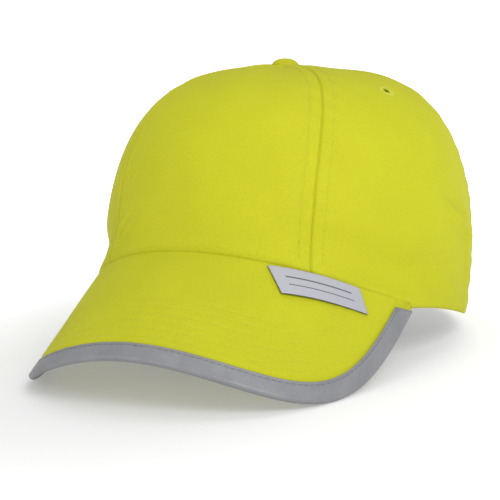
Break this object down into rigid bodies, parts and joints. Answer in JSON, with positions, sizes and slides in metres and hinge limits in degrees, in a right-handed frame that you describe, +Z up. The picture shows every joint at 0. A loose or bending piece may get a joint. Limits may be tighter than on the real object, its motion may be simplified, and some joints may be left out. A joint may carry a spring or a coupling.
{
  "type": "bump cap",
  "caption": "High-visibility five-panel bump cap with a curved reflective-edged peak, a removable padded plastic shell inside and a hook and loop strap.",
  "frame": {"origin": "on the table surface under the middle of the cap, which stands on its rear rim and the two low corners of the peak", "axes": "+Z up from the table, -Y the way the peak points, +X the wearer's left"},
  "size_m": [0.1784, 0.2503, 0.1353],
  "materials": {
    "hi_vis_cloth": "matte fluorescent yellow-green polyester twill",
    "hi_vis_tape": "matte fluorescent seam tape",
    "interlining": "stiff white resin-coated interlining",
    "embroidery": "satin stitched yellow thread",
    "sweatband_cloth": "dark brushed knit over foam",
    "label_cloth": "white woven care label",
    "reflective_tape": "grey retroreflective tape, fine glass bead sheen",
    "silver_label": "silver reflective woven label with a plain face",
    "peak_pe": "milky polyethylene board",
    "hook_tape": "nylon hook tape",
    "loop_tape": "nylon loop tape",
    "stud_plastic": "moulded acetal",
    "washer_steel": "zinc plated",
    "shell_abs": "textured black ABS",
    "pad_foam": "closed cell foam faced with dark knit"
  },
  "bodies": {
    "cap": {"front_panel": "hi_vis_cloth", "side_panel_left": "hi_vis_cloth", "side_panel_right": "hi_vis_cloth", "back_panel_left": "hi_vis_cloth", "back_panel_right": "hi_vis_cloth", "front_buckram": "interlining", "front_seam_tape_left": "hi_vis_tape", "front_seam_tape_right": "hi_vis_tape", "back_seam_tape_left": "hi_vis_tape", "back_seam_tape_right": "hi_vis_tape", "rear_centre_tape": "hi_vis_tape", "vent_eyelets": "embroidery", "top_button": "hi_vis_cloth", "button_stud": "stud_plastic", "button_washer": "washer_steel", "sweatband": "sweatband_cloth", "care_label": "label_cloth", "rear_opening_tape": "hi_vis_tape", "peak_board": "peak_pe", "peak_top_cover": "hi_vis_cloth", "peak_under_cover": "hi_vis_cloth", "peak_binding": "reflective_tape", "strap_sewn_end": "hi_vis_cloth", "strap_inner": "hi_vis_cloth", "loop_patch": "loop_tape"},
    "insert": {"insert_shell": "shell_abs", "crown_pad": "pad_foam", "front_pad": "pad_foam", "rear_pad": "pad_foam", "side_pad_left": "pad_foam", "side_pad_right": "pad_foam"},
    "strap": {"strap_outer": "hi_vis_cloth", "hook_patch": "hook_tape"},
    "label": {"seam_label": "silver_label"}
  },
  "joints": [
    {"name": "insert_slide", "type": "slide", "parent": "cap", "child": "insert", "axis": [0, -0.1436, -0.9896], "range_m": [0, 0.13]},
    {"name": "strap_peel", "type": "hinge", "parent": "cap", "child": "strap", "pos_m": [-0.03824, 0.10864, 0.01148], "axis": [-0.0734, 0.2942, 0.9529], "range_deg": [0, 100]},
    {"name": "label_lift", "type": "hinge", "parent": "cap", "child": "label", "pos_m": [0.05555, -0.05186, 0.04746], "axis": [-0.7778, -0.5235, 0.3478], "range_deg": [0, 60]}
  ]
}
